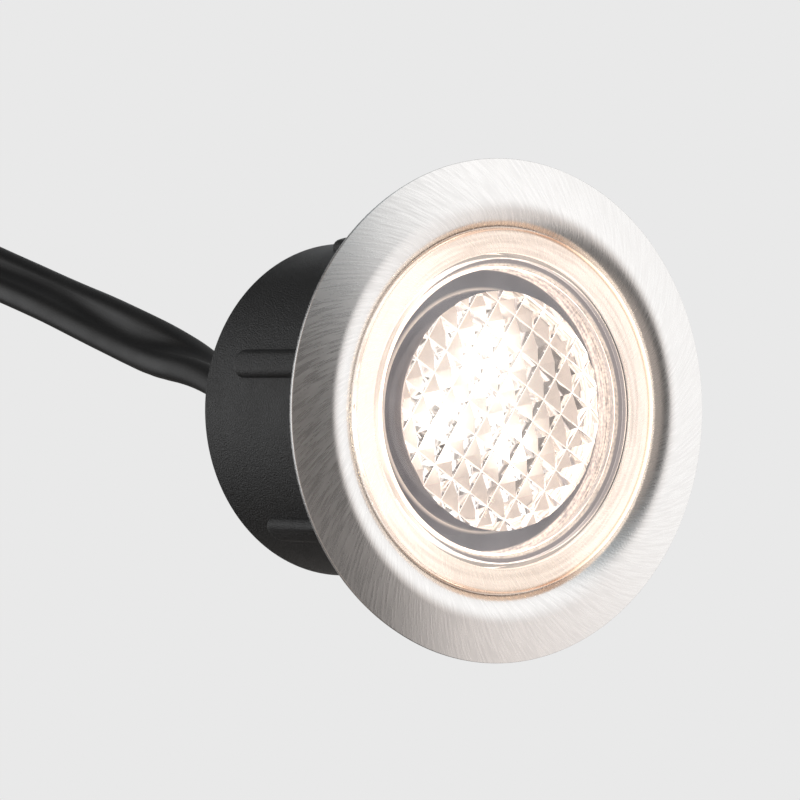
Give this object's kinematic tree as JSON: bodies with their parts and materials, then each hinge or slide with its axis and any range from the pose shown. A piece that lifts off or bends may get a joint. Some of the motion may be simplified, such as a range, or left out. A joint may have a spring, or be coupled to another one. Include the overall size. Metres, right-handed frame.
{
  "type": "recessed deck light",
  "caption": "Small round recessed light for a deck board: dished steel trim ring, screwed-in prismatic lens, ribbed cup, twin cord with a screw-coupled plug.",
  "frame": {"origin": "centre of the trim ring's underside, on the face of the deck", "axes": "+Z out of the deck, along the axis of the lens and the housing; -Y is the side that the picture is taken from"},
  "size_m": [0.0829, 0.045, 0.2021],
  "materials": {
    "housing": "fine spark-eroded grain",
    "trim": "brushed with short straight strokes",
    "lens": "clear polished moulding",
    "seal": "smooth",
    "gasket": "matt",
    "board": "white solder mask",
    "led": "white package, warm phosphor",
    "chip": "moulded",
    "core_red": "smooth sheath",
    "core_black": "smooth sheath",
    "potting": "cast",
    "grommet": "matt",
    "sheath": "extruded, slight sheen",
    "tie": "satin",
    "plug": "moulded",
    "pin": "plated",
    "nut": "moulded"
  },
  "bodies": {
    "root": {"housing": "housing", "trim_ring": "trim", "deck_gasket": "gasket", "circuit_board": "board", "led_1": "led", "led_2": "led", "led_3": "led", "bridge_rectifier": "chip", "current_regulator": "chip", "resistor_1": "chip", "resistor_2": "chip", "core_wire_1": "core_red", "core_wire_2": "core_black", "potting_compound": "potting", "cable_grommet": "grommet", "cord": "sheath", "cord_coil": "sheath", "coil_tie": "tie", "plug_body": "plug", "plug_pin_1": "pin", "plug_pin_2": "pin", "plug_seal": "seal"},
    "lens_seal": {"lens_seal": "seal"},
    "lens": {"lens": "lens"},
    "nut": {"coupling_nut": "nut"}
  },
  "joints": [
    {"name": "lens_lift", "type": "slide", "parent": "root", "child": "lens_seal", "axis": [0, 0, 1], "range_m": [0, 0.004]},
    {"name": "lens_turn", "type": "hinge", "parent": "lens_seal", "child": "lens", "pos_m": [0, 0, 0], "axis": [0, 0, 1], "range_deg": [0, 1442]},
    {"name": "nut_spin", "type": "hinge", "parent": "root", "child": "nut", "pos_m": [-0.0195, -0.0061, -0.1984], "axis": [0, 0, 1], "continuous": true}
  ],
  "couplings": [
    {"joint": "lens_turn", "follows": "lens_lift", "rad_per_m": 6283.2}
  ]
}
